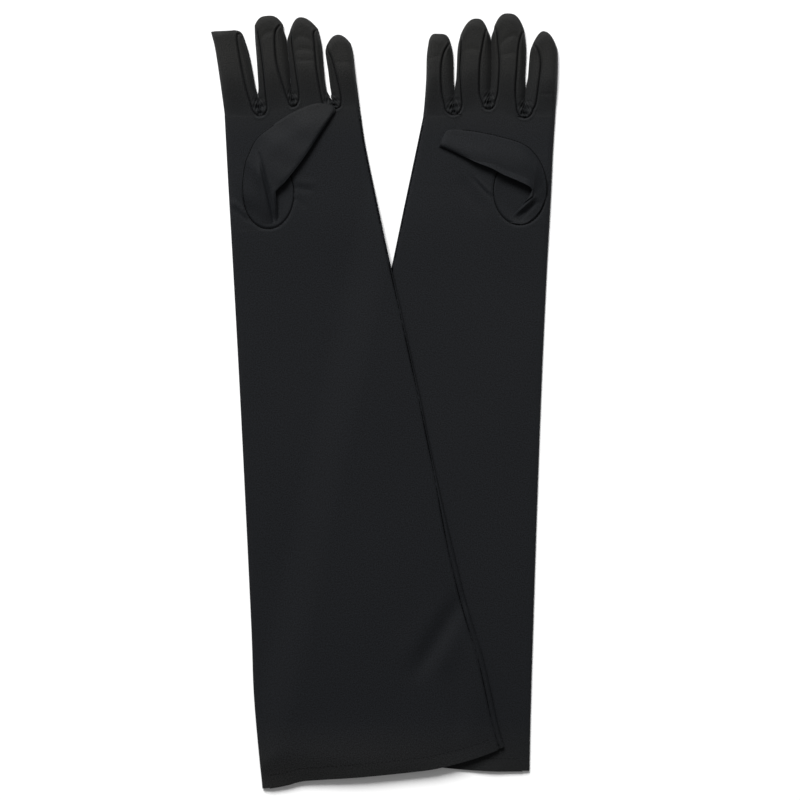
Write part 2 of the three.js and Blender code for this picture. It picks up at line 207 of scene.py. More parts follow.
# ---- The pattern in plan ---------------------------------------------------------------
# Where the cloth is cut and seamed, in millimetres in the frame's XY plane. Each trank is one
# cloth, cut with a hem, two side edges and three forks between its fingers. Neighbouring
# fingers touch beside their fork for a contact length, past the web that joins them.
HEM_DEPTH = 9.0
TRANK_LENGTH = 480.0
WEB = 4.0
SLIT = 0.06
CUTS = {
    "left": {
        "hem": [(-89.3, -278.6), (-80, -277.3), (-70.8, -275.4), (-61, -272.6), (-45.8, -271.2),
                (-18.9, -269.3), (24.3, -264.8), (41.2, -261.8), (66, -255), (84.7, -248)],
        "west": [(-89.3, -278.6), (-95.3, -214.6), (-97.6, -157), (-104.6, -13), (-110.3, 92.8),
                 (-114, 157), (-116.6, 206)],
        "east": [(84.7, -248), (79.5, -230), (69.6, -185), (56.5, -141), (38.4, -65), (21.8, 14.4),
                 (1.2, 107.5), (-3.8, 131), (-14.6, 183), (-18.8, 210)],
        "forks": [(-90.6, 205.9), (-66.9, 212.4), (-36.6, 211)],
        "contacts": [16, 50, 7],
        "seam": "east",
    },
    "right": {
        "hem": [(-68.5, -246), (-11.3, -255.6), (45.9, -263.4), (76, -265.6), (103.1, -265.7)],
        "west": [(-68.5, -246), (-48.3, -150), (-27.2, -50), (-8.3, 40), (0.1, 80), (5.9, 107.3),
                 (12.7, 140), (19.9, 174), (26.4, 205)],
        "east": [(103.1, -265.7), (104.2, -215), (107.8, -99), (112, 16), (115.6, 93.8),
                 (118.6, 148), (120, 179), (121.6, 205)],
        "forks": [(48.5, 206.6), (73.8, 210.6), (99.1, 204.5)],
        "contacts": [21, 53, 24],
        "seam": "west",
    },
}
# Outlines and, where a fourchette is sewn in, its seam on the palm side, each point given as
# (forward, across to the east) from the knuckle.
FINGERS = {
    "left": [
        {"name": "index", "tip": 56.4, "slant": 3.4, "square": 8, "peak": 0.5,
         "west": [(0, -11.9), (25, -10.9), (46, -10.4), (57.6, -11.2)],
         "east": [(10.3, 13.4), (27.8, 13.4), (39.7, 12.9), (51.4, 11.2)],
         "east_seam": [(-1.3, 8.2), (11.4, 6.8), (32.8, 6.2), (50.6, 7.0)]},
        {"name": "middle", "tip": 61.8, "square": 3, "peak": 0.44,
         "west": [(10.3, -11.8), (30.5, -11.1), (46, -10.8), (55.5, -10.2)],
         "east": [(6.6, 10.8), (21.1, 10.6), (35.6, 10.7), (54, 10.4)],
         "west_seam": [(-3.9, -6.9), (23.6, -6.8), (46.1, -7.7)],
         "east_seam": [(-3, 9.2), (5.5, 7), (26.2, 3.3), (46, 3.9), (52.5, 7)]},
        {"name": "ring", "tip": 58.6, "square": 2.0, "peak": 0.4,
         "west": [(5.9, -14), (28.8, -12), (40, -11.7), (49.5, -9.4)],
         "east": [(2, 10.5), (18.1, 10.6), (36, 11.8), (48, 11)],
         "west_seam": [(5.1, -9.6), (25.7, -9.4), (38.3, -9.2), (46, -8.6)],
         "east_seam": [(-5.3, 6.0), (2.7, 5.7), (19.5, 5.6), (37.5, 6.8), (45, 7.4)]},
        {"name": "little", "tip": 48.2, "square": 2.1, "peak": 0.5,
         "west": [(7.9, -10.8), (23.9, -10.3), (36.5, -10.1), (41, -8.8)],
         "east": [(4.5, 8.3), (20, 8.9), (33, 9.6), (40, 9.2)],
         "west_seam": [(-2.5, -5.2), (4, -4.1), (15, -4.6), (29.7, -6), (37, -8)]},
    ],
    "right": [
        {"name": "little", "tip": 51.2, "square": 4.4, "peak": 0.42,
         "west": [(0, -9.5), (17.3, -8.9), (35, -9.0), (46, -7.9)],
         "east": [(0.7, 11.4), (17.9, 11.0), (35.9, 10.0), (45, 7.9)],
         "east_seam": [(-1.5, 5.3), (9, 2.8), (25.5, 1.7), (36.4, 3.2), (42.5, 6.2)]},
        {"name": "ring", "tip": 60.4, "square": 2.5, "peak": 0.62,
         "west": [(4, -11.8), (22, -12.2), (38, -12.6), (48, -11.2)],
         "east": [(8, 12.4), (23.8, 12), (41.7, 10.3), (53.5, 7.6)],
         "west_seam": [(-2.1, -6.4), (10, -8.2), (22.7, -9.8), (36, -10), (44, -10.6)],
         "east_seam": [(-1.5, 8.4), (7.4, 5.4), (27.5, 4.3), (40.6, 5.2), (50.5, 6.6)]},
        {"name": "middle", "tip": 63.2, "square": 2.8, "peak": 0.45,
         "west": [(6, -11.6), (21.9, -10.3), (41.5, -10.8), (53.5, -10)],
         "east": [(4.2, 12.4), (22.2, 13.0), (38.2, 13.3), (51, 11.8)],
         "west_seam": [(-1, -8.6), (6.1, -6.7), (24.8, -5.8), (39.2, -7), (48, -8)],
         "east_seam": [(-5.5, 7), (6.3, 5.9), (22.9, 6.7), (37.4, 7.6), (46, 9.2)]},
        {"name": "index", "tip": 54.8, "square": 2.0, "peak": 0.4,
         "west": [(4.2, -11.4), (22.3, -10.8), (38.3, -10.4), (45, -8.8)],
         "east": [(0, 10.4), (12.7, 10.6), (31.3, 10.2), (42, 9.4)],
         "west_seam": [(-3, -6.0), (1.7, -4.0), (14.8, -2.8), (30.8, -2.2), (40, -4.8)]},
    ],
}
# The oval openings for the thumbs: centre and radii.
HOLES = {"left": ((-84.8, 150), (18.4, 25.4)), "right": ((96, 152), (19, 24.6))}
joint = {j["name"]: j for j in frame["joints"]}


def through(points):
    """Catmull-Rom curve through points, as a function of the share of its length."""
    p = np.asarray(points, float)
    p = np.vstack([2 * p[0] - p[1], p, 2 * p[-1] - p[-2]])
    t = np.linspace(0, 1, 17)[:-1, None]
    runs = [
        0.5 * (2 * b + (c - a) * t + (2 * a - 5 * b + 4 * c - d) * t**2 + (3 * b - a - 3 * c + d) * t**3)
        for a, b, c, d in zip(p, p[1:], p[2:], p[3:])
    ]
    return along(np.vstack(runs + [p[-2:-1]]))


def along(line):
    """Straight runs between points, as a function of the share of their length."""
    steps = np.linalg.norm(np.diff(line, axis=0), axis=1)
    share = np.concatenate([[0], np.cumsum(steps)]) / steps.sum()
    return lambda s: np.stack([np.interp(s, share, line[:, k]) for k in range(line.shape[1])], -1)


def rise(x, low, high):
    """Smoothly 0 to 1 as x goes from low to high."""
    t = np.clip((x - low) / (high - low), 0, 1)
    return t * t * (3 - 2 * t)


def quarter_turn(start, end):
    """Points of a quarter ellipse that leaves start sideways and reaches end going forward."""
    t = np.linspace(0, math.pi / 2, 9)[:, None]
    start, end = np.array(start, float), np.array(end, float)
    return start + np.concatenate([1 - np.cos(t), np.sin(t)], 1) * (end - start)


class Finger:
    """A finger's curves in plan, each a function of the share of its length from fork to tip:
    its outline, the same from the trank's edge (under), and its seams on the palm side."""

    def __init__(self, side, index):
        shape = FINGERS[side][index]
        self.curl = joint[f"{side}_{shape['name']}_curl"]
        self.at = np.array(self.curl["pos_m"][:2]) / MM
        self.across = np.array(self.curl["axis"][:2])
        self.ahead = np.array([-self.across[1], self.across[0]])
        self.side, self.index, self.shape = side, index, shape
        self.key = f"{side}_{shape['name']}"
        cut = CUTS[side]
        feet = np.array([cut["west"][-1], *cut["forks"], cut["east"][-1]], float)
        self.outline, self.under, self.seam = {}, {}, {}
        for edge, foot in zip(("west", "east"), self.local(feet[index : index + 2])):
            self.outline[edge] = self.under[edge] = self.seam[edge] = through([foot, *shape[edge]])
            if f"{edge}_seam" in shape:
                first, *rest = shape[f"{edge}_seam"]
                run = through([first, *rest, shape[edge][-1]])(np.linspace(0, 1, 60)[1:])
                self.seam[edge] = along(np.vstack([quarter_turn(foot, first), run]))

    def local(self, xy):
        """Plan points as distances forward and across from the knuckle."""
        offset = xy - self.at
        return np.stack([offset @ self.ahead, offset @ self.across], -1)

    def world(self, local):
        """Distances forward and across from the knuckle as plan points."""
        return self.at + local[..., :1] * self.ahead + local[..., 1:] * self.across

    def has_fourchette(self, edge):
        """A fourchette is sewn in at the edges that have a seam of their own."""
        return f"{edge}_seam" in self.shape

    def bend(self):
        """The finger that the cloth crosses to, from 4 mm before the knuckle to 7 mm after."""
        at, ahead = np.array(self.curl["pos_m"]), np.append(self.ahead, 0) * MM
        return self.key, tuple(at - 4 * ahead), tuple(at + 7 * ahead)


def close_slit(left, right, foot, contact):
    """Draws two neighbours' outlines together over the contact length from their fork. Past
    it their own outlines part smoothly. Both outlines then start at the web."""
    ahead = (left.ahead + right.ahead) / np.linalg.norm(left.ahead + right.ahead)
    across = np.array([ahead[1], -ahead[0]])
    share = np.linspace(0, 1, 120)
    left_line = left.world(left.outline["east"](share)) - foot
    right_line = right.world(right.outline["west"](share)) - foot
    (q_left, l_left), (q_right, l_right) = [(line @ ahead, line @ across) for line in (left_line, right_line)]
    for finger, edge, q, own, other, sign in (
        (left, "east", q_left, l_left, np.interp(q_left, q_right, l_right), -1),
        (right, "west", q_right, l_right, np.interp(q_right, q_left, l_left), 1),
    ):
        middle = (own + other) / 2
        half = np.maximum(sign * (own - other) / 2, SLIT / 2)
        half = SLIT / 2 + (half - SLIT / 2) * rise(q, contact - 3, contact + 6)
        lateral = middle + sign * half
        line = foot + q[:, None] * ahead + lateral[:, None] * across
        web = foot + WEB * ahead + sign * SLIT / 2 * across
        ahead_of_web = finger.local(np.vstack([web, line[q > WEB + 0.6]]))
        finger.outline[edge] = along(ahead_of_web)
        finger.under[edge] = along(np.vstack([finger.local(foot), ahead_of_web]))


fingers = {side: [Finger(side, i) for i in range(4)] for side in CUTS}
seams = {}
for side, hand in fingers.items():
    for k, foot in enumerate(np.array(CUTS[side]["forks"], float)):
        close_slit(hand[k], hand[k + 1], foot, CUTS[side]["contacts"][k])
    share = np.linspace(0, 0.97, 190)
    seams[side] = np.vstack([
        finger.world(finger.seam[edge](share))
        for finger in hand for edge in ("west", "east") if finger.has_fourchette(edge)
    ])


def finger_groove(side, xy):
    """How deep the cloth is drawn in beside the seams of the fourchettes."""
    flat = xy.reshape(-1, 2)
    depth = np.zeros(len(flat))
    near = np.flatnonzero(flat[:, 1] > 198)
    for part in np.array_split(near, max(1, len(near) // 2000)):
        gap = np.linalg.norm(flat[part, None] - seams[side][None], axis=-1).min(1)
        depth[part] = 1.05 * np.exp(-((gap / 0.62) ** 2)) - 0.25 * np.exp(-(((gap - 1.5) / 0.8) ** 2))
    return depth.reshape(xy.shape[:-1])


# ---- The trank: sleeve, palm and back --------------------------------------------------
# One cloth per glove, folded along the index side and seamed just inside the edge on the
# little-finger side, so that the back rolls round the seam in a narrow ridge. It lies flat
# and nearly empty. The left sleeve drapes over the right one.
SLEEVE_TOP = 2.5
PALM_TOP = 3.8
EDGE_HEIGHT = 1.2
LAYER_STEP = 3.1
OVAL_RADIUS = 21
# Soft folds: (start, end, width, height)
FOLDS = {
    "left": [
        ((56, -138), (20, -198), 7, -1.7), ((66, -138), (40, -192), 8, 0.6), ((44, -140), (6, -190), 9, 0.4),
        ((44, -190), (54, -240), 6, -0.7), ((58, -168), (70, -226), 6, 0.8),
        ((-113, 145.5), (-98, 132.5), 2.2, 0.6), ((-110, 141), (-98, 129.5), 2.2, -0.45),
        ((-68.6, 155), (-53, 152), 2.4, -0.35), ((-66, 148), (-58, 139.5), 2.2, -0.3),
        ((-66, 159), (-50, 157), 2.6, 0.25),
    ],
    "right": [
        ((60.5, 163), (75.5, 146.5), 0.9, -0.5), ((64, 162), (77.5, 148), 1.3, 0.4),
        ((52, 160), (70, 136), 5, -0.35),
        ((50.9, 207), (51.6, 195), 1.6, -0.3), ((117, 158), (114, 148), 2, -0.3),
    ],
}
right_hem = through(CUTS["right"]["hem"])
right_edge = np.array([CUTS["right"]["west"][0], CUTS["right"]["west"][5]])


def coons(south, north, west, east):
    """Coons patch: rows plus sides less the bilinear blend of the corners, (u, v) to plan."""
    def plan(u, v):
        across, up = u[..., None], v[..., None]
        rows = (1 - up) * south(u) + up * north(u)
        sides = (1 - across) * west(v) + across * east(v)
        low = (1 - across) * south(0) + across * south(1)
        high = (1 - across) * north(0) + across * north(1)
        return rows + sides - (1 - up) * low - up * high
    return plan


def round_off(distance, radius):
    """A quarter circle: 0 with an upright start at distance 0, and 1 from the radius on."""
    t = 1 - np.clip(distance / radius, 0, 1)
    return np.sqrt(np.clip(1 - t * t, 0, 1))


def columns(count, crowd=0.6):
    """Shares from 0 to 1, crowded towards both ends where the cloth rolls over."""
    even = np.linspace(0, 1, count + 1)
    return crowd * (1 - np.cos(math.pi * even)) / 2 + (1 - crowd) * even


def crease(xy, start, end, width, height):
    """A soft ridge or valley along a line, a Gaussian across it that fades out at its ends."""
    a, b = np.array(start, float), np.array(end, float)
    run = np.linalg.norm(b - a)
    t = ((xy - a) @ (b - a)) / run**2
    gap = np.linalg.norm(xy - (a + np.clip(t, 0, 1)[..., None] * (b - a)), axis=-1)
    fade = rise(t, -0.15, 0.3) * rise(-t, -1.15, -0.7)
    return height * np.exp(-((gap / width) ** 2)) * fade


def with_height(xy, z):
    """Plan points with their heights, as (..., xyz)."""
    return np.concatenate([xy, np.asarray(z)[..., None]], -1)


def beyond_right(xy):
    """Distances of plan points inside the right sleeve's hidden edge, and above its hem."""
    run = (right_edge[1] - right_edge[0]) / np.linalg.norm(right_edge[1] - right_edge[0])
    offset = xy - right_edge[0]
    inside = offset[..., 0] * run[1] - offset[..., 1] * run[0]
    hem = right_hem(np.linspace(0, 1, 60))
    above = xy[..., 1] - np.interp(xy[..., 0], hem[:, 0], hem[:, 1])
    return inside, above


def lie(side, xy):
    """Height of what the sleeve lies on: the table, or the sleeve below it."""
    if side == "right":
        return np.zeros(xy.shape[:-1])
    inside, above = beyond_right(xy)
    return LAYER_STEP * np.minimum(rise(inside, -34, -1), rise(above, -30, -2))


def oval_radius(side, xy):
    """Radius of plan points in units of the oval that the thumb is set into."""
    centre, radii = HOLES[side]
    return np.linalg.norm((xy - centre) / radii, axis=-1)


def trank_plan(side):
    """The trank's Coons patch, from hem to forks, as a function of shares across and up."""
    cut = CUTS[side]
    top = np.array([cut["west"][-1], *cut["forks"], cut["east"][-1]], float)
    return coons(through(cut["hem"]), along(top), through(cut["west"]), through(cut["east"]))


def wander(xy, side):
    """The slight unevenness of cloth that was smoothed by hand: a few long, low waves."""
    x, y = xy[..., 0], xy[..., 1]
    turn = 1.0 if side == "left" else 2.3
    waves = np.sin(x / 17 + y / 31 + turn) + np.sin(x / 29 - y / 23 + 2 * turn)
    return 0.14 * (waves + 0.6 * np.sin(x / 9.5 + y / 47 + turn))


def edge_distance(side, u, v):
    """Distances in from the nearest side edge, and from the edge that is seamed."""
    plan = trank_plan(side)
    width = np.linalg.norm(plan(np.ones_like(v), v) - plan(np.zeros_like(v), v), axis=-1)
    seamed = u if CUTS[side]["seam"] == "west" else 1 - u
    return np.minimum(u, 1 - u) * width, seamed * width


def seam_inset(v):
    """The side seam lies 3.6 mm in from the edge near the hem, and rolls to the edge above."""
    return 1.1 + 2.5 * rise(-v, -0.46, -0.28)


def trank_top(side, xy, u, v):
    """Height of the palm side: level, rolling down over a quarter circle at its edges, with a
    groove at the side seam, a ring groove at the thumb's seam, a sewn hem, and folds. The
    upper sleeve's mouth gapes a little."""
    edge, seam_edge = edge_distance(side, u, v)
    level = SLEEVE_TOP + (PALM_TOP - SLEEVE_TOP) * rise(v, 0.72, 0.86)
    rolled = 0.6 * round_off(edge, 4.5) + 0.4 * round_off(edge, 26)
    z = EDGE_HEIGHT + (level - EDGE_HEIGHT) * rolled
    inset = seam_inset(v)
    drawn_in = 0.5 + 0.17 * inset + 0.3 * np.sin(v * 940)
    z = z - drawn_in * np.exp(-(((seam_edge - inset) / 0.6) ** 2))
    z = z + 0.15 * inset * np.exp(-(((seam_edge - 0.5 * inset) / 0.9) ** 2))
    ring = (oval_radius(side, xy) - 1) * OVAL_RADIUS
    z = z - 0.6 * np.exp(-((ring / 0.7) ** 2))
    z = z + wander(xy, side) * rise(edge, 0, 20) * (1 - 0.5 * rise(v, 0.8, 0.95))
    for fold in FOLDS[side]:
        z = z + crease(xy, *fold)
    up = v * TRANK_LENGTH
    z = z - 0.12 * (1 + 0.5 * np.sin(u * 370)) * np.exp(-(((up - HEM_DEPTH) / 0.9) ** 2))
    gape = (1.8 if side == "left" else 0) * rise(-up, -45, 0) * np.sin(math.pi * np.clip(u, 0, 1) ** 0.6)
    return z + gape + 0.3 * rise(-up, -7, 0) * np.sin(u * 23 + seam_edge / 20) + lie(side, xy)


def trank_back(side, u, v):
    """The back: flat where it lies, turned up in a quarter circle to meet the palm side."""
    xy = trank_plan(side)(u, v)
    z = EDGE_HEIGHT * (1 - round_off(edge_distance(side, u, v)[0], 2.5))
    return with_height(xy, z + lie(side, xy))


def wrist_blend(side):
    """The sleeve and hand that the cloth crosses between, 10 mm each side of the wrist."""
    fold = joint[f"{side}_wrist_fold"]
    at, axis = np.array(fold["pos_m"]), np.array(fold["axis"])
    ahead = np.cross([0, 0, 1], axis) * 0.010
    return f"{side}_hand", tuple(at - ahead), tuple(at + ahead)


def hole_border(kept):
    """Grid points that are kept beside one that is dropped."""
    dropped = np.pad(~kept, 1)
    rows, count = kept.shape
    beside = [dropped[i : i + rows, k : k + count] for i in range(3) for k in range(3)]
    return kept & np.any(beside, axis=0)


trank_rows = np.concatenate([np.linspace(0, 0.82, 130)[:-1], np.linspace(0.82, 1, 110)])
for side in ("right", "left"):
    grid_u, grid_v = np.meshgrid(columns(130, 0.65), trank_rows)
    plan = trank_plan(side)(grid_u, grid_v)
    centre = HOLES[side][0]
    kept = oval_radius(side, plan) > 1
    on_oval = centre + (plan - centre) / oval_radius(side, plan)[..., None]
    plan = np.where(hole_border(kept)[..., None], on_oval, plan)
    top = trank_top(side, plan, grid_u, grid_v) - finger_groove(side, plan)
    cloth(
        f"{side}_palm_side", with_height(plan, top), f"{side}_sleeve", blend=wrist_blend(side),
        replaces=(f"{side}_sleeve_palm_side", f"{side}_hand_palm"), keep=kept,
    )
    grid_u, grid_v = np.meshgrid(columns(60), np.linspace(0, 1, 180))
    cloth(
        f"{side}_back_side", trank_back(side, grid_u, grid_v), f"{side}_sleeve", turned=True,
        blend=wrist_blend(side), replaces=(f"{side}_sleeve_back_side", f"{side}_hand_back"),
    )


# The hem is turned in, 10 mm deep, and rolls a little at its fold. It is sewn through once.
HEM_ROLL = 0.5
TURNING = np.concatenate([np.linspace(0, 1.5, 7), [3, 5, 8, 11]])


def turned_hem(side, u, way, height, outward):
    """way is the distance along the turning: a half circle at the fold, then up inside."""
    angle = np.clip(way / HEM_ROLL, 0, math.pi)
    inside = np.maximum(way - math.pi * HEM_ROLL, 0)
    ahead = (inside - HEM_ROLL * np.sin(angle)) / TRANK_LENGTH
    xy = trank_plan(side)(u, ahead)
    lift = HEM_ROLL * (1 - np.cos(angle))
    return with_height(xy, height(xy, u, np.maximum(ahead, 0)) + outward * lift)


for side in ("right", "left"):
    grid_u, way = np.meshgrid(np.linspace(0.03, 0.97, 90), TURNING)
    heights = {
        "palm_side": (lambda xy, u, v, side=side: trank_top(side, xy, u, v) - 0.05, -1),
        "back_side": (lambda xy, u, v, side=side: trank_back(side, u, v)[..., 2] + 0.05, 1),
    }
    for name, (height, outward) in heights.items():
        cloth(
            f"{side}_hem_{name}_cloth", turned_hem(side, grid_u, way, height, outward), f"{side}_sleeve",
            replaces=(f"{side}_hem_{name}",), turned=name == "back_side",
        )

# ---- Fingers ---------------------------------------------------------------------------
# Each finger's front and back run on from the trank. A seam joins them to the fourchettes,
# strips that loop round each fork in a trough, and the tip is closed in a seam. The fingers
# are a little puffed, and flatten towards the tip.
FINGER_TOP = 6.8
FINGER_SEAM = 5.0
FINGER_EDGE = 1.4
WEB_HEIGHT = 1.3
TIP_ROUND = 7.0
PUFF_LENGTH = 30
# Slight crosswise pulls in the fingers' cloth: (finger, share along, slant, depth)
PULLS = [
    ("left_ring", 0.62, 0.1, 0.3), ("left_ring", 0.72, 0.05, 0.4), ("left_ring", 0.82, -0.05, 0.35),
    ("left_middle", 0.82, 0.3, 0.4), ("right_middle", 0.8, 0.9, 0.45),
    ("right_middle", 0.68, 0.6, 0.3), ("right_ring", 0.74, -0.4, 0.3), ("left_little", 0.7, -0.3, 0.2),
    ("right_little", 0.75, 0.4, 0.2), ("right_index", 0.35, -0.3, 0.2),
]


def top_row(side):
    """Shares of the trank's top edge at which the fingers start and end."""
    cut = CUTS[side]
    feet = np.array([cut["west"][-1], *cut["forks"], cut["east"][-1]], float)
    reach = np.concatenate([[0], np.cumsum(np.linalg.norm(np.diff(feet, axis=0), axis=1))])
    return reach / reach[-1]


def root_height(finger, a):
    """The palm's height along its top edge, where the finger's front runs on from it."""
    shares = top_row(finger.side)
    low, high = shares[finger.index], shares[finger.index + 1]
    u = low + (high - low) * np.linspace(0, 1, 120)
    v = np.ones_like(u)
    top = trank_top(finger.side, trank_plan(finger.side)(u, v), u, v)
    return np.interp(a, np.linspace(0, 1, 120), top)


def tip_arch(finger, a, s, sides):
    """How far the cloth bulges forward at the tip: an arch across it with its own peak."""
    last = (1 - a) * sides["west"](1.0)[0] + a * sides["east"](1.0)[0]
    tip = finger.shape["tip"] + finger.shape.get("slant", 0) * (0.5 - a)
    across = np.interp(a, [0, finger.shape["peak"], 1], [-1, 0, 1])
    return (tip - last) * (1 - np.abs(across) ** finger.shape["square"]) * rise(s, 0.6, 1)


def closing(finger, s):
    """1 along the finger, falling over a quarter circle to 0 at the tip."""
    return round_off((1 - s) * (finger.shape["tip"] + 8), TIP_ROUND)


def puffed(finger, base, full, a, forward):
    """From the palm's height at the root to the full height 30 mm further forward."""
    start = [finger.under[edge](0.0)[0] for edge in ("west", "east")]
    return base + (full - base) * rise(forward - (1 - a) * start[0] - a * start[1], 0, PUFF_LENGTH)


def seam_height(finger, edge, s):
    """Full height of the front's edge: at a fourchette's seam, or at the fold."""
    if finger.has_fourchette(edge):
        return FINGER_EDGE + (FINGER_SEAM - FINGER_EDGE) * closing(finger, s)
    return np.full_like(s, FINGER_EDGE)


def finger_front(finger, a, s):
    """From seam to seam: a shallow dome that rises from the palm and closes at the tip."""
    west, east = finger.seam["west"](s), finger.seam["east"](s)
    local = west + (east - west) * a[..., None]
    local[..., 0] += tip_arch(finger, a, s, finger.seam)
    xy = finger.world(local)
    low = (1 - a) * seam_height(finger, "west", s) + a * seam_height(finger, "east", s)
    high = FINGER_EDGE + (FINGER_TOP - 0.8 * rise(s, 0.5, 0.9) - FINGER_EDGE) * closing(finger, s)
    dome = (1 - np.abs(2 * a - 1) ** 2.4) ** 0.6
    z = puffed(finger, root_height(finger, a), low + (high - low) * dome, a, local[..., 0])
    inner = np.sin(np.clip(a, 0, 1) * math.pi) ** 0.7
    for name, place, slant, depth in PULLS:
        if name == finger.key:
            z = z - depth * np.exp(-(((s - place - slant * (a - 0.5) * 0.12) / 0.022) ** 2)) * inner
    return with_height(xy, z - finger_groove(finger.side, xy) * rise(-s, -1, -0.93))


def edge_height(q):
    """The outline's height: down at the web, and up along the finger."""
    return WEB_HEIGHT + (FINGER_EDGE - WEB_HEIGHT) * rise(q, -6, 8)


def fourchette(finger, edge, t, s):
    """A side strip: it falls in a curve, a little steeper than a quarter ellipse, from the
    seam (t = 0) out to the outline (t = 1). It puckers where it is eased round the fork."""
    seam, outline = finger.seam[edge](s), finger.outline[edge](s)
    local = seam + (outline - seam) * np.sin(t * math.pi / 2)[..., None]
    xy = finger.world(local)
    a = 0.0 if edge == "west" else 1.0
    high = puffed(finger, root_height(finger, a), seam_height(finger, edge, s), a, seam[..., 0])
    low = edge_height(outline[..., 0])
    swell = 0.5 * np.sin(np.clip(t * 1.6, 0, 1) * math.pi) * rise(s, 0.1, 0.25) * rise(-s, -1, -0.85)
    turn = finger.index + a
    pucker = np.sin(s * 67 + t * 8 + 2 * turn) + np.sin(s * 109 - t * 11 + 5 * turn) - 0.5
    pucker = pucker * np.exp(-((s / 0.14) ** 2)) * np.sin(t * math.pi)
    z = low + (high - low) * np.cos(t * math.pi / 2) ** 1.8 + swell + pucker
    return with_height(xy, z - finger_groove(finger.side, xy) * rise(-t, -1, -0.4) * rise(-s, -1, -0.93))


def finger_back(finger, a, s):
    """The back: flat on the table and turned up to the outline at both sides."""
    west, east = finger.under["west"](s), finger.under["east"](s)
    width = np.linalg.norm(east - west, axis=-1)
    local = west + (east - west) * a[..., None]
    local[..., 0] += tip_arch(finger, a, s, finger.under)
    edge = np.minimum(np.minimum(a, 1 - a) * width, (1 - s) * finger.shape["tip"])
    turned_up = rise(s, 0, 0.06) * (1 - round_off(edge, 3))
    return with_height(finger.world(local), edge_height(local[..., 0]) * turned_up)


for side, hand in fingers.items():
    for i, finger in enumerate(hand):
        grid_a, grid_s = np.meshgrid(columns(34), columns(90, 0.3))
        cloth(
            f"{finger.key}_front_cloth", finger_front(finger, grid_a, grid_s), f"{side}_hand",
            blend=finger.bend(), replaces=(f"{finger.key}_front",),
        )
        grid_a, grid_s = np.meshgrid(columns(20), columns(44, 0.3))
        cloth(
            f"{finger.key}_back_cloth", finger_back(finger, grid_a, grid_s), f"{side}_hand",
            blend=finger.bend(), replaces=(f"{finger.key}_back",), turned=True,
        )
        for edge, step in (("west", -1), ("east", 1)):
            if not finger.has_fourchette(edge):
                continue
            other = hand[i + step]
            name = f"{finger.key}_fourchette_by_{other.shape['name']}"
            fork = f"{finger.key}_{other.shape['name']}_fork" if step == 1 else None
            grid_t, grid_s = np.meshgrid(columns(16, 0.5), columns(90, 0.3))
            cloth(
                f"{name}_cloth", fourchette(finger, edge, grid_t, grid_s), f"{side}_hand",
                blend=finger.bend(), turned=edge == "west",
                replaces=(name, fork) if fork else (name,),
            )

# ---- Thumbs ----------------------------------------------------------------------------
# Each thumb is set into the oval opening with a gusset, and folded over on to the palm, a
# flattened tube that points at the little finger. Its front runs up out of the oval's outer
# half. Its inner edge stands off the palm, with a pleat from there down the oval.
THUMB_TOP = 8.0
THUMB_EDGE = 4.7
THUMB_ROOT = 0.36
THUMB_LENGTH = 72
OVAL_EDGE = 3.7
THUMBS = {
    "left": {
        "outer": "west",
        "outer_oval": [(-81, 125.2), (-90, 126.6), (-97, 132.2), (-101.9, 141.5), (-103.7, 152),
                       (-103.3, 164), (-101.4, 174)],
        "outer_edge": [(-101.4, 174), (-94.6, 188.5), (-85, 197), (-72, 205.6), (-60.7, 211.6),
                       (-49.9, 214.8), (-41, 213.6)],
        "inner_oval": [(-78.6, 125.9), (-77.4, 132.7), (-78.6, 141), (-79.6, 151.2)],
        "inner_edge": [(-79.6, 151.2), (-71.9, 159.1), (-60.7, 173.5), (-49.9, 189.4), (-37, 208.4)],
        "bulge": 2.0, "stand": 7.0,
        "pleats": [((-91.4, 178), (-80.2, 127), 1.0, -1.9), ((-93.5, 170), (-85.5, 136), 2.2, 0.6),
                   ((-82.0, 153), (-79.3, 133), 1.3, 0.9)],
    },
    "right": {
        "outer": "east",
        "outer_oval": [(98.5, 127.6), (104, 129.7), (111.4, 137.5), (115.4, 149), (115.1, 160),
                       (112.6, 169.5), (109.2, 176.3)],
        "outer_edge": [(109.2, 176.3), (102.3, 183.6), (93, 188.2), (78.5, 192), (64.9, 194.8), (51.6, 196.2),
                       (43.4, 196.4)],
        "inner_oval": [(88.5, 129.4), (91.5, 135), (97.2, 141.0), (105.2, 148.2)],
        "inner_edge": [(105.2, 148.2), (103.6, 153.6), (95, 158.3), (83.9, 163), (74.9, 167.8), (64.8, 171.8),
                       (55.9, 176.3), (44.6, 181.3), (37.6, 184.4)],
        "bulge": 0.3, "stand": 8.6,
        "pleats": [((107, 147.6), (92, 134), 1.2, 1.3), ((108.5, 144.4), (95, 131), 1.6, -1.1),
                   ((96, 166), (60, 182), 3, 0.35)],
    },
}


def two_part(first, second):
    """Two curves on end, the second from the share THUMB_ROOT on."""
    below, above = through(first), through(second)
    def line(v):
        v = np.asarray(v, float)[..., None]
        low = below(np.clip(v[..., 0] / THUMB_ROOT, 0, 1))
        high = above(np.clip((v[..., 0] - THUMB_ROOT) / (1 - THUMB_ROOT), 0, 1))
        return np.where(v < THUMB_ROOT, low, high)
    return line


def thumb_plan(side):
    """Between the outer and inner lines, with the tip bulging forward as a squared arch."""
    shape = THUMBS[side]
    outer = two_part(shape["outer_oval"], shape["outer_edge"])
    inner = two_part(shape["inner_oval"], shape["inner_edge"])
    west, east = (outer, inner) if shape["outer"] == "west" else (inner, outer)
    swing = joint[f"{side}_thumb_swing"]["axis"]
    ahead = np.array([-swing[1], swing[0]])
    def plan(u, v):
        xy = west(v) + (east(v) - west(v)) * u[..., None]
        return xy + ahead * (shape["bulge"] * (1 - np.abs(2 * u - 1) ** 3.5) * rise(v, 0.8, 1))[..., None]
    return plan


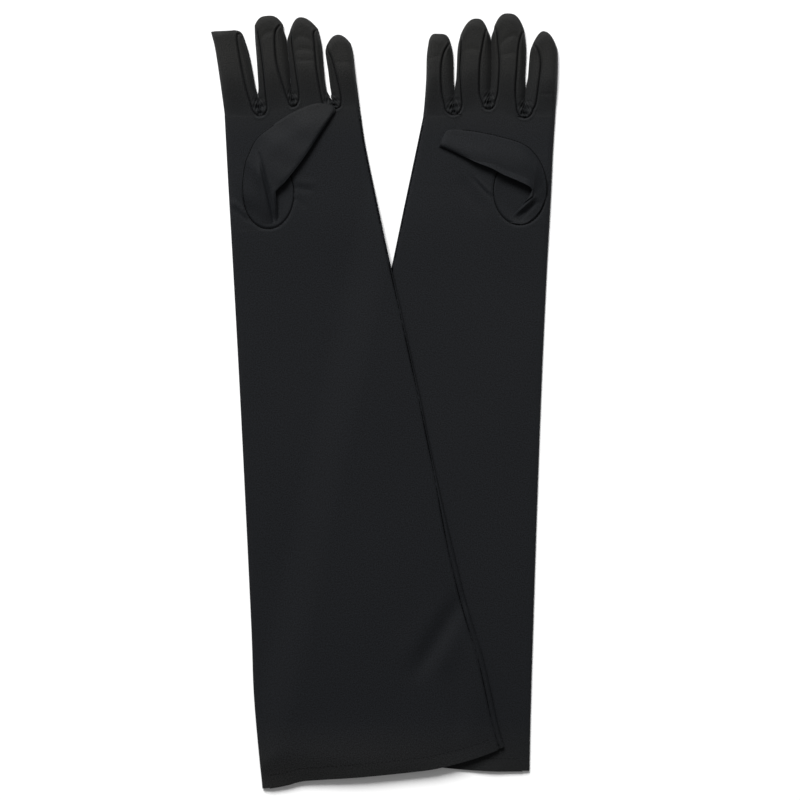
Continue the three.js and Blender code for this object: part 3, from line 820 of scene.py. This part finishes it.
def thumb_distances(side, u, v):
    """Distances in from the outer edge, from the inner edge, and back from the tip."""
    plan = thumb_plan(side)
    width = np.linalg.norm(plan(np.ones_like(v), v) - plan(np.zeros_like(v), v), axis=-1)
    outer = (u if THUMBS[side]["outer"] == "west" else 1 - u) * width
    return outer, width - outer, (1 - v) / (1 - THUMB_ROOT) * THUMB_LENGTH


def inner_stand(side, v):
    """Height of the inner edge: on the gusset at the oval's foot, standing off at the root,
    and low again at the tip."""
    stand = THUMBS[side]["stand"]
    return 2.6 + (stand - 2.6) * rise(v, 0.07, THUMB_ROOT) - (stand - THUMB_EDGE) * rise(v, 0.65, 1)


def outer_stand(v):
    """Height of the outer edge: the palm's in the oval, and a little over it further up."""
    return OVAL_EDGE + (THUMB_EDGE - OVAL_EDGE) * rise(v, 0.14, 0.22)


def thumb_front(side, u, v):
    """From the oval up over the fold to the tip: flat at first, then a tube that rolls down
    over a quarter circle at its edges and tip, with pleats and a groove at its outer seam."""
    plan = thumb_plan(side)(u, v)
    outer, inner, back = thumb_distances(side, u, v)
    top = 4.2 + (THUMB_TOP - 4.2) * rise(v, 0, 0.5) - 0.9 * rise(v, 0.7, 1)
    flat_rise = rise(outer, 0, 15)
    tube_rise = 0.4 * round_off(outer, 2.5) + 0.6 * rise(outer, 0, 16)
    lifted = flat_rise + (tube_rise - flat_rise) * rise(v, 0.25, 0.55)
    z = outer_stand(v) + (top - outer_stand(v)) * lifted
    low = inner_stand(side, v)
    rolled = round_off(inner, 3.2 + 14 * rise(-v, -0.2, -0.05))
    z = np.minimum(z, low + (np.maximum(z, low) - low) * rolled)
    z = THUMB_EDGE + (z - THUMB_EDGE) * np.where(v > 0.6, round_off(back, 4.5), 1)
    for pleat in THUMBS[side]["pleats"]:
        z = z + crease(plan, *pleat)
    z = z - 1.3 * np.exp(-((outer / 0.8) ** 2)) * rise(-v, -0.2, -0.12)
    return with_height(plan, z + 0.2 * np.sin(plan[..., 0] / 6.3 + plan[..., 1] / 4.1) * rise(inner, 1, 5))


def thumb_back(side, u, v):
    """The thumb's underside: from the gusset up to the tube's edges, and along them."""
    plan = thumb_plan(side)(u, v)
    outer, inner, back = thumb_distances(side, u, v)
    share = outer / (outer + inner)
    edges = outer_stand(v) + (inner_stand(side, v) - outer_stand(v)) * share**2
    sag = 0.35 * np.sin(share * math.pi)
    z = 3.3 + (edges - sag - 3.3) * rise(v, THUMB_ROOT - 0.08, THUMB_ROOT + 0.08)
    return with_height(plan, np.where(v > 0.6, THUMB_EDGE + (z - THUMB_EDGE) * round_off(back, 3), z))


def gusset(side):
    """The oval filled in, a Coons patch between four arcs, a little lower than the palm."""
    centre, radii = HOLES[side]
    def arc(start, end):
        def line(s):
            angle = np.radians(start + (end - start) * np.asarray(s, float))
            return centre + np.stack([np.cos(angle), np.sin(angle)], -1) * radii
        return line
    plan = coons(arc(225, 315), arc(135, 45), arc(225, 135), arc(315, 405))
    xy = plan(*np.meshgrid(columns(48), columns(60)))
    ring = (1 - oval_radius(side, xy)) * OVAL_RADIUS
    z = 3.0 + 0.55 * np.exp(-((ring / 5) ** 2)) - 0.75 * np.exp(-((ring / 0.8) ** 2))
    waves = 0.12 * np.sin(xy[..., 0] / 2.7 + xy[..., 1] / 6.1) * rise(ring, 0, 4)
    return with_height(xy, z + waves)


def root_bend(side):
    """The thumb that the cloth crosses to, from 4 mm before its root line to 6 mm after."""
    swing = joint[f"{side}_thumb_swing"]
    at = np.array(swing["pos_m"])
    ahead = np.cross([0, 0, 1], swing["axis"]) * MM
    return f"{side}_thumb", tuple(at - 4 * ahead), tuple(at + 6 * ahead)


for side in ("left", "right"):
    cloth(
        f"{side}_gusset_cloth", gusset(side), f"{side}_hand",
        replaces=(f"{side}_thumb_gusset",),
    )
    cloth(
        f"{side}_thumb_front_cloth", thumb_front(side, *np.meshgrid(columns(54), columns(120, 0.3))),
        f"{side}_hand", blend=root_bend(side),
        replaces=(f"{side}_thumb_front",),
    )
    under = THUMB_ROOT - 0.08 + (1.08 - THUMB_ROOT) * columns(60, 0.3)
    cloth(
        f"{side}_thumb_back_cloth", thumb_back(side, *np.meshgrid(columns(30), under)), f"{side}_hand",
        blend=root_bend(side), replaces=(f"{side}_thumb_back",), turned=True,
    )

# ---- Sewing thread ---------------------------------------------------------------------
# Black spun polyester thread, 0.4 mm thick and doubled in the long seams. Its staple ends
# scatter the light, so it has no gloss. Its black is set darker than the cloth's, painted shade for
# the shade in the seams' grooves. The stitches lie in the grooves of the side seam, the thumb's seam
# and the fourchettes' seams, and a fine row holds the hem.
thread = bpy.data.materials.new("black_thread_with_painted_groove_shade")
thread.use_nodes = True
shader = thread.node_tree.nodes["Principled BSDF"]
# Painted shade: a black darker than the cloth's, so that the stitch lines also carry the grooves' shade.
shader.inputs["Base Color"].default_value = linear("030303")
shader.inputs["Roughness"].default_value = 0.9
shader.inputs["Specular IOR Level"].default_value = 0.05
# How a stitch narrows: (share of its length, share of its radius)
TAPER = ((0, 0.4), (0.15, 1), (0.85, 1), (1, 0.4))


def stitches(name, path, pitch, body, replaces=(), blend=None, length=0.82, radius=0.2):
    """Stitches along a path, one each pitch: six-sided rods, narrow at both ends."""
    reach = np.concatenate([[0], np.cumsum(np.linalg.norm(np.diff(path, axis=0), axis=1))])
    start = np.arange(0.3, reach[-1] - pitch, pitch)
    def at(distance):
        return np.stack([np.interp(distance, reach, path[:, k]) for k in range(3)], -1)
    a, b = at(start), at(start + pitch * length)
    run = b - a
    side = np.cross(run, [0, 0, 1.0])
    side /= np.linalg.norm(side, axis=1, keepdims=True)
    up = np.cross(side, run)
    up /= np.linalg.norm(up, axis=1, keepdims=True)
    angle = np.arange(6) * math.tau / 6
    ring = side[:, None] * np.cos(angle)[:, None] + up[:, None] * np.sin(angle)[:, None]
    rings = [a[:, None] + run[:, None] * t + ring * radius * r for t, r in TAPER]
    points = np.stack(rings, 1).reshape(-1, 3)
    k = np.arange(6)
    n = (k + 1) % 6
    wall = np.stack([k, k + 6, n + 6, n], -1)
    walls = np.concatenate([wall, wall + 6, wall + 12])
    faces = []
    for i in range(len(start)):
        faces += (walls + 24 * i).tolist()
        faces += [(k + 24 * i).tolist(), (k[::-1] + 18 + 24 * i).tolist()]
    return placed(name, points, faces, body, replaces, blend, thread)


for side in ("left", "right"):
    seam_side = CUTS[side]["seam"]
    # The side seam's rows stop either side of the wrist, and each rides its own body.
    for name, first, last in (("sleeve", 0.004, 0.765), ("hand", 0.775, 0.99)):
        v = np.linspace(first, last, 400)
        edge = trank_plan(side)(np.full_like(v, 0.0 if seam_side == "west" else 1.0), v)
        far = trank_plan(side)(np.full_like(v, 1.0 if seam_side == "west" else 0.0), v)
        share = seam_inset(v) / np.linalg.norm(far - edge, axis=1)
        u = share if seam_side == "west" else 1 - share
        xy = trank_plan(side)(u, v)
        path = with_height(xy, trank_top(side, xy, u, v) + 0.12)
        stitches(
            f"{side}_{name}_side_stitches", path, 2.4, f"{side}_{name}",
            replaces=(f"{side}_{name}_seam_thread",), length=0.92, radius=0.32,
        )
    u = np.linspace(0.035, 0.965, 500)
    v = np.full_like(u, HEM_DEPTH / TRANK_LENGTH)
    xy = trank_plan(side)(u, v)
    stitches(
        f"{side}_hem_stitches", with_height(xy, trank_top(side, xy, u, v) + 0.05), 3.0, f"{side}_sleeve",
        length=0.6, radius=0.11,
    )
    centre, radii = HOLES[side]
    angle = np.radians(np.linspace(0, 360, 400))
    oval = centre + np.stack([np.cos(angle), np.sin(angle)], -1) * radii
    stitches(
        f"{side}_thumb_hole_stitches", with_height(oval, np.full(400, 3.2)), 2.2, f"{side}_hand", length=0.9,
        radius=0.3,
    )
    for finger in fingers[side]:
        for edge in ("west", "east"):
            if finger.has_fourchette(edge):
                s = np.linspace(0, 0.95, 300)
                a = np.full_like(s, 0.0 if edge == "west" else 1.0)
                stitches(
                    f"{finger.key}_{edge}_seam_stitches", finger_front(finger, a, s) + [0, 0, 0.1], 2.0,
                    f"{side}_hand", blend=finger.bend(), radius=0.24,
                )
for side, u, last in (("left", 0.02, 0.64), ("right", 0.98, 0.9)):
    v = np.linspace(0.18, last, 200)
    stitches(
        f"{side}_thumb_seam_stitches", thumb_front(side, np.full_like(v, u), v) + [0, 0, 0.1], 2.2,
        f"{side}_hand", blend=root_bend(side), length=0.9, radius=0.24,
    )

# ---- Table, camera and light -----------------------------------------------------------
# The pair lies on a white table, seen from straight above. A broad soft light stands beyond
# the fingertips, and the white room fills from all round.
VIEW_WIDTH = 0.576
VIEW_CENTRE = (0.00986, 0.00144)
CLOTH_LEVEL = 0.003
LIGHT_AT = (-1.4, 4.0, 3.4)
LIGHT_REACH = math.hypot(LIGHT_AT[0], LIGHT_AT[1])
camera_data = bpy.data.cameras.new("camera")
camera_data.lens = 90
camera_data.sensor_width = 36
camera = bpy.data.objects.new("camera", camera_data)
camera.location = (*VIEW_CENTRE, VIEW_WIDTH * camera_data.lens / camera_data.sensor_width + CLOTH_LEVEL)
bpy.context.collection.objects.link(camera)
bpy.context.scene.camera = camera
bpy.context.scene.view_settings.view_transform = "Standard"

# A table top in matte white paint.
white = bpy.data.materials.new("white_table")
white.use_nodes = True
shader = white.node_tree.nodes["Principled BSDF"]
shader.inputs["Base Color"].default_value = linear("f7f7f7")
shader.inputs["Roughness"].default_value = 0.9
table_mesh = bpy.data.meshes.new("table")
table_mesh.from_pydata([(-3, -3, 0), (3, -3, 0), (3, 3, 0), (-3, 3, 0)], [], [(0, 1, 2, 3)])
table_mesh.materials.append(white)
table = bpy.data.objects.new("table", table_mesh)
table.location.z = -0.0002
bpy.context.collection.objects.link(table)

world = bpy.data.worlds.new("white_room")
world.use_nodes = True
world.node_tree.nodes["Background"].inputs["Color"].default_value = linear("ffffff")
world.node_tree.nodes["Background"].inputs["Strength"].default_value = 0.25
bpy.context.scene.world = world

light_data = bpy.data.lights.new("key", "AREA")
light_data.shape = "RECTANGLE"
light_data.size = 2.6
light_data.size_y = 2.4
light_data.energy = 495
key_light = bpy.data.objects.new("key", light_data)
key_light.location = LIGHT_AT
key_light.rotation_euler = (-math.atan2(LIGHT_REACH, LIGHT_AT[2]), 0, math.atan2(-LIGHT_AT[0], LIGHT_AT[1]))
bpy.context.collection.objects.link(key_light)
